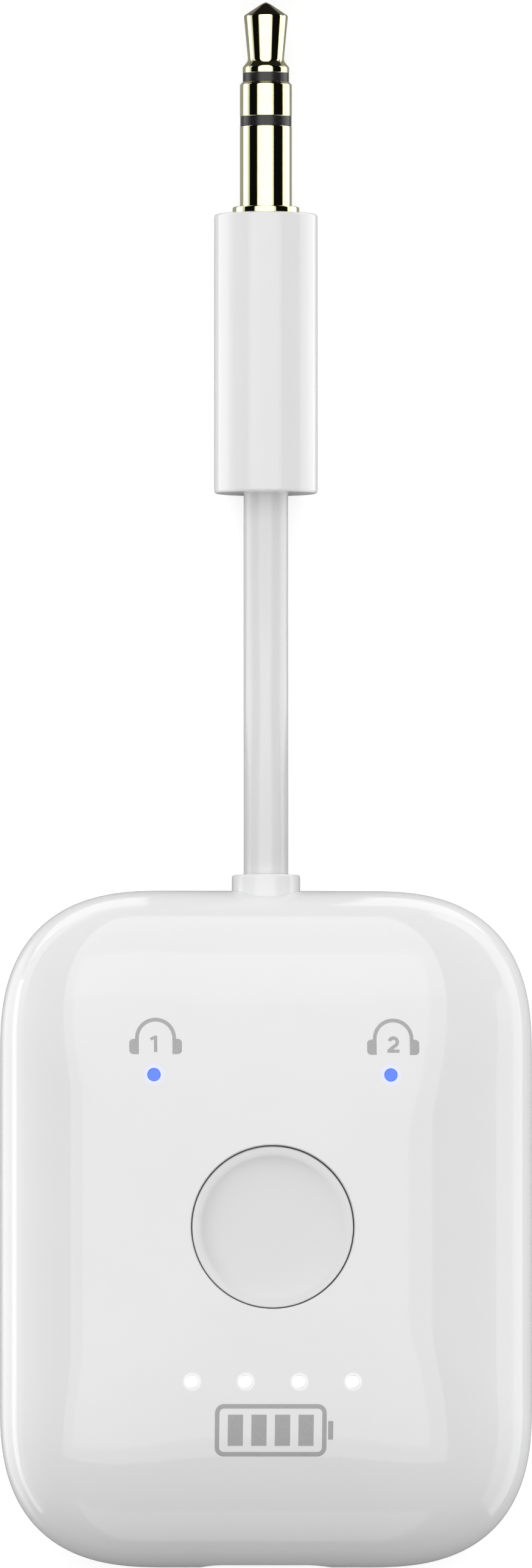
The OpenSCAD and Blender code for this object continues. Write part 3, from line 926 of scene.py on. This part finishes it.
materials["ceramic_white"] = finish(
    "ceramic_white", (0.82, 0.82, 0.79), (0.9, 0.9, 0.88), (0.18, 0.3), tone_scale=2500, grain=7000
)[0]
materials["ceramic_tan"] = finish(
    "ceramic_tan", (0.5, 0.36, 0.23), (0.62, 0.48, 0.34), (0.4, 0.55), tone_scale=3500, grain=8000, bump=0.3
)[0]
materials["pouch_foil"] = finish(
    "pouch_foil", (0.66, 0.67, 0.68), (0.8, 0.81, 0.82), (0.25, 0.42), 1.0, 350, 1100, 0.35, 2e-5
)[0]
materials["foam"] = finish(
    "foam", (0.05, 0.05, 0.05), (0.11, 0.11, 0.11), (0.85, 0.98), tone_scale=5000, grain=6000, bump=0.9,
    depth=5e-5
)[0]


def board_finish():
    """Green solder mask over fine copper tracks."""
    material, tree, shader = node_tree("board")
    place = tree.nodes.new("ShaderNodeTexCoord")
    tracks = add(
        tree, "ShaderNodeTexBrick", Scale=260.0, Mortar_Size=0.012, Brick_Width=0.7, Row_Height=0.22
    )
    tracks.inputs["Color1"].default_value = (0.02, 0.16, 0.07, 1)
    tracks.inputs["Color2"].default_value = (0.022, 0.18, 0.08, 1)
    tracks.inputs["Mortar"].default_value = (0.06, 0.34, 0.16, 1)
    tree.links.new(place.outputs["Object"], tracks.inputs["Vector"])
    tree.links.new(tracks.outputs["Color"], shader.inputs["Base Color"])
    tree.links.new(spread(tree, noise(tree, 1500), 0.28, 0.4), shader.inputs["Roughness"])
    bumped(tree, shader, tracks.outputs["Fac"], 0.3, 1e-5)
    return material


def wire_finish():
    """Insulation whose colour depends on where the wire is across the housing."""
    material, tree, shader = node_tree("wire_insulation")
    place = tree.nodes.new("ShaderNodeTexCoord")
    split = tree.nodes.new("ShaderNodeSeparateXYZ")
    tree.links.new(place.outputs["Object"], split.inputs["Vector"])
    across = add(tree, "ShaderNodeMapRange", From_Min=-0.004, From_Max=0.004, To_Min=0.0, To_Max=1.0)
    tree.links.new(split.outputs["X"], across.inputs["Value"])
    ramp = tree.nodes.new("ShaderNodeValToRGB")
    ramp.color_ramp.interpolation = "CONSTANT"
    stops = [(0.0, (0.02, 0.02, 0.02, 1)), (0.3, (0.6, 0.03, 0.03, 1)), (0.44, (0.85, 0.85, 0.85, 1)),
             (0.56, (0.03, 0.03, 0.03, 1)), (0.75, (0.6, 0.03, 0.03, 1))]
    ramp.color_ramp.elements[0].color = stops[0][1]
    ramp.color_ramp.elements[1].position = stops[1][0]
    ramp.color_ramp.elements[1].color = stops[1][1]
    for position, colour in stops[2:]:
        ramp.color_ramp.elements.new(position).color = colour
    tree.links.new(across.outputs["Result"], ramp.inputs["Fac"])
    tree.links.new(ramp.outputs["Color"], shader.inputs["Base Color"])
    fine = noise(tree, 6000)
    tree.links.new(spread(tree, fine, 0.35, 0.5), shader.inputs["Roughness"])
    bumped(tree, shader, fine, 0.1, 2e-6)
    return material


def window_finish(name, edge, core):
    """A lit window whose light is slightly uneven."""
    material, tree, shader = node_tree(name)
    shader.inputs["Base Color"].default_value = (*[c * 0.5 for c in edge], 1)
    tone = noise(tree, 2500, 2)
    tree.links.new(two_tones(tree, tone, edge, core), shader.inputs["Emission Color"])
    shader.inputs["Emission Strength"].default_value = 1.0
    tree.links.new(spread(tree, noise(tree, 5000), 0.25, 0.35), shader.inputs["Roughness"])
    return material


materials["board"] = board_finish()
materials["wire_insulation"] = wire_finish()
materials["clear_pipe_blue"] = window_finish("window_blue", (0.06, 0.15, 0.80), (0.08, 0.17, 0.86))
materials["clear_pipe_white"], tree, shader = finish(
    "window_white", WHITE, WHITE_TONE, (0.12, 0.16), tone_scale=1500, grain=4000, bump=0.01
)
lamp = glow(tree, battery_places, BATTERY_CORE, BATTERY_HALO, (1, 1, 1), BATTERY_GLOW)
tree.links.new(lamp, shader.inputs["Emission Color"])
shader.inputs["Emission Strength"].default_value = 1.0

slots = {part["node"]: part["material_slot"] for part in record["subparts"]}
for name, obj in nodes.items():
    obj.data.materials.clear()
    obj.data.materials.append(materials[slots[name]])
for obj in bpy.context.scene.objects:
    if "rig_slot" in obj and obj.name not in nodes:
        obj.data.materials.clear()
        obj.data.materials.append(materials[obj["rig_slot"]])
for obj in marks:
    obj.data.materials.append(materials["print_grey"])
button.data.materials[0] = materials["button_white"]


# ---------------------------------------------------------------- floor and lights
PAPER_GLOW = 0.75
PLUG_GLOW = 1.6
LEFT_GLOW = 0.8


def plane(name, corners, material):
    mesh = bpy.data.meshes.new(name)
    mesh.from_pydata(corners, [], [tuple(range(len(corners)))])
    mesh.materials.append(material)
    obj = link(bpy.data.objects.new(name, mesh))
    return obj


def between(tree, source, limits, soft):
    """1 where source is between two limits, fading to 0 over soft at both, all in millimetres."""
    low, high = [limit * MM for limit in limits]
    soft *= MM
    rise = add(tree, "ShaderNodeMapRange", From_Min=low - soft, From_Max=low, To_Min=0.0, To_Max=1.0)
    fall = add(tree, "ShaderNodeMapRange", From_Min=high, From_Max=high + soft, To_Min=1.0, To_Max=0.0)
    for fade in (rise, fall):
        fade.interpolation_type = "SMOOTHSTEP"
        tree.links.new(source, fade.inputs["Value"])
    return maths(tree, "MULTIPLY", rise.outputs["Result"], fall.outputs["Result"])


# The floor reads as white paper to the camera. Patches of it also light the object from beside it
floor_material, tree, shader = finish(
    "floor", (0.39, 0.39, 0.39), (0.41, 0.41, 0.41), (0.85, 0.95), tone_scale=3, grain=60, bump=0.02
)
place = tree.nodes.new("ShaderNodeTexCoord")
split = tree.nodes.new("ShaderNodeSeparateXYZ")
tree.links.new(place.outputs["Object"], split.inputs["Vector"])
seen = tree.nodes.new("ShaderNodeLightPath")
glows = [maths(tree, "MULTIPLY", seen.outputs["Is Camera Ray"], PAPER_GLOW)]
# Limits and fade in x, then in y, of the patches left and right of the plug and left of the housing
for x_limits, x_soft, y_limits, y_soft, strength in (
    ((-45, -8.5), 1.5, (38, 84), 4, PLUG_GLOW),
    ((8.5, 35), 1.5, (38, 84), 4, PLUG_GLOW),
    ((-60, -24), 3, (-24, 24), 6, LEFT_GLOW),
):
    across = between(tree, split.outputs["X"], x_limits, x_soft)
    along = between(tree, split.outputs["Y"], y_limits, y_soft)
    patch = maths(tree, "MULTIPLY", across, along)
    glows.append(maths(tree, "MULTIPLY", patch, strength))
shader.inputs["Emission Color"].default_value = (1, 1, 1, 1)
tree.links.new(greatest(tree, glows), shader.inputs["Emission Strength"])
FLOOR_Z = -0.05 * MM
FLOOR = 1.5
floor_corners = [
    (-FLOOR, -FLOOR, FLOOR_Z), (FLOOR, -FLOOR, FLOOR_Z), (FLOOR, FLOOR, FLOOR_Z), (-FLOOR, FLOOR, FLOOR_Z)
]
plane("floor", floor_corners, floor_material)


def area_light(name, size_x, size_y, radiance):
    data = bpy.data.lights.new(name, "AREA")
    data.shape = "RECTANGLE"
    data.size = size_x
    data.size_y = size_y
    data.energy = radiance * math.pi * size_x * size_y
    obj = link(bpy.data.objects.new(name, data))
    obj.visible_camera = False
    return obj


LIGHT_AIM_Y = 0.03


def softbox(name, left, right, down, up, radiance, distance):
    """A light overhead, seen from the object between these angles in degrees off the camera's line.

    Each stands at its own distance, because Cycles loses light where two panels share a plane.
    """
    x0, x1 = [math.tan(math.radians(a)) * distance for a in (left, right)]
    y0, y1 = [math.tan(math.radians(a)) * distance for a in (down, up)]
    obj = area_light(name, x1 - x0, y1 - y0, radiance)
    obj.location = (
        (x0 + x1) / 2 - VIEW_LEFT * distance,
        LIGHT_AIM_Y + (y0 + y1) / 2 - VIEW_DOWN * distance,
        distance,
    )


def side_strip(name, x, y_range, top, radiance):
    """A low upright strip beside the object, facing it. Top is its height."""
    y0, y1 = y_range
    obj = area_light(name, y1 - y0, top, radiance)
    obj.location = (x, (y0 + y1) / 2, top / 2)
    facing = Vector((-1 if x > 0 else 1, 0, 0))
    obj.rotation_euler = facing.to_track_quat("-Z", "Y").to_euler()


# A black card beyond the plug, out of the picture, which the metal tip mirrors
flag_finish = finish("flag_black", (0.006, 0.006, 0.006), (0.01, 0.01, 0.01), (0.9, 1.0))[0]
FLAG_X = 9 * MM
FLAG_Y = 87 * MM
FLAG_TOP = 7 * MM
flag_corners = [
    (-FLAG_X, FLAG_Y, 0), (FLAG_X, FLAG_Y, 0), (FLAG_X, FLAG_Y, FLAG_TOP), (-FLAG_X, FLAG_Y, FLAG_TOP)
]
flag = plane("flag", flag_corners, flag_finish)
flag.visible_camera = False

softbox("softbox", -41, 34, -27, 48, 1.1, 2.0)
softbox("softbox_core", -34, 27, -22, 48, 0.8, 2.1)
softbox("softbox_high", -41, 34, 30, 48, 0.5, 2.2)
softbox("softbox_top", -41, 34, 48, 80, 1.5, 2.3)
softbox("softbox_low", -41, 34, -80, -50, 0.75, 2.4)
BY_HOUSING = (-40 * MM, 26 * MM)
BY_PLUG = (26 * MM, 110 * MM)
side_strip("strip_left", -40 * MM, BY_HOUSING, 21.2 * MM, 0.3)
side_strip("strip_left_low", -39 * MM, BY_HOUSING, 10 * MM, 0.4)
side_strip("strip_left_lowest", -38 * MM, BY_HOUSING, 5 * MM, 1.4)
side_strip("strip_right", 40 * MM, BY_HOUSING, 21.9 * MM, 0.95)
side_strip("strip_right_low", 39 * MM, BY_HOUSING, 10 * MM, 0.6)
side_strip("strip_plug_left", -40 * MM, BY_PLUG, 10.5 * MM, 0.8)
side_strip("strip_plug_right", 40 * MM, BY_PLUG, 13.6 * MM, 1.4)

world = bpy.data.worlds.new("world")
bpy.context.scene.world = world
world.use_nodes = True
tree = world.node_tree
backdrop = tree.nodes["Background"]
backdrop.inputs["Color"].default_value = (1, 1, 1, 1)
backdrop.inputs["Strength"].default_value = 0.8
dark = tree.nodes.new("ShaderNodeBackground")
dark.inputs["Color"].default_value = (1, 1, 1, 1)
dark.inputs["Strength"].default_value = 0.004
rays = tree.nodes.new("ShaderNodeLightPath")
mix = tree.nodes.new("ShaderNodeMixShader")
tree.links.new(rays.outputs["Is Camera Ray"], mix.inputs["Fac"])
tree.links.new(dark.outputs["Background"], mix.inputs[1])
tree.links.new(backdrop.outputs["Background"], mix.inputs[2])
tree.links.new(mix.outputs["Shader"], tree.nodes["World Output"].inputs["Surface"])

bpy.context.scene.view_settings.view_transform = "Standard"
bpy.context.scene.view_settings.look = "None"
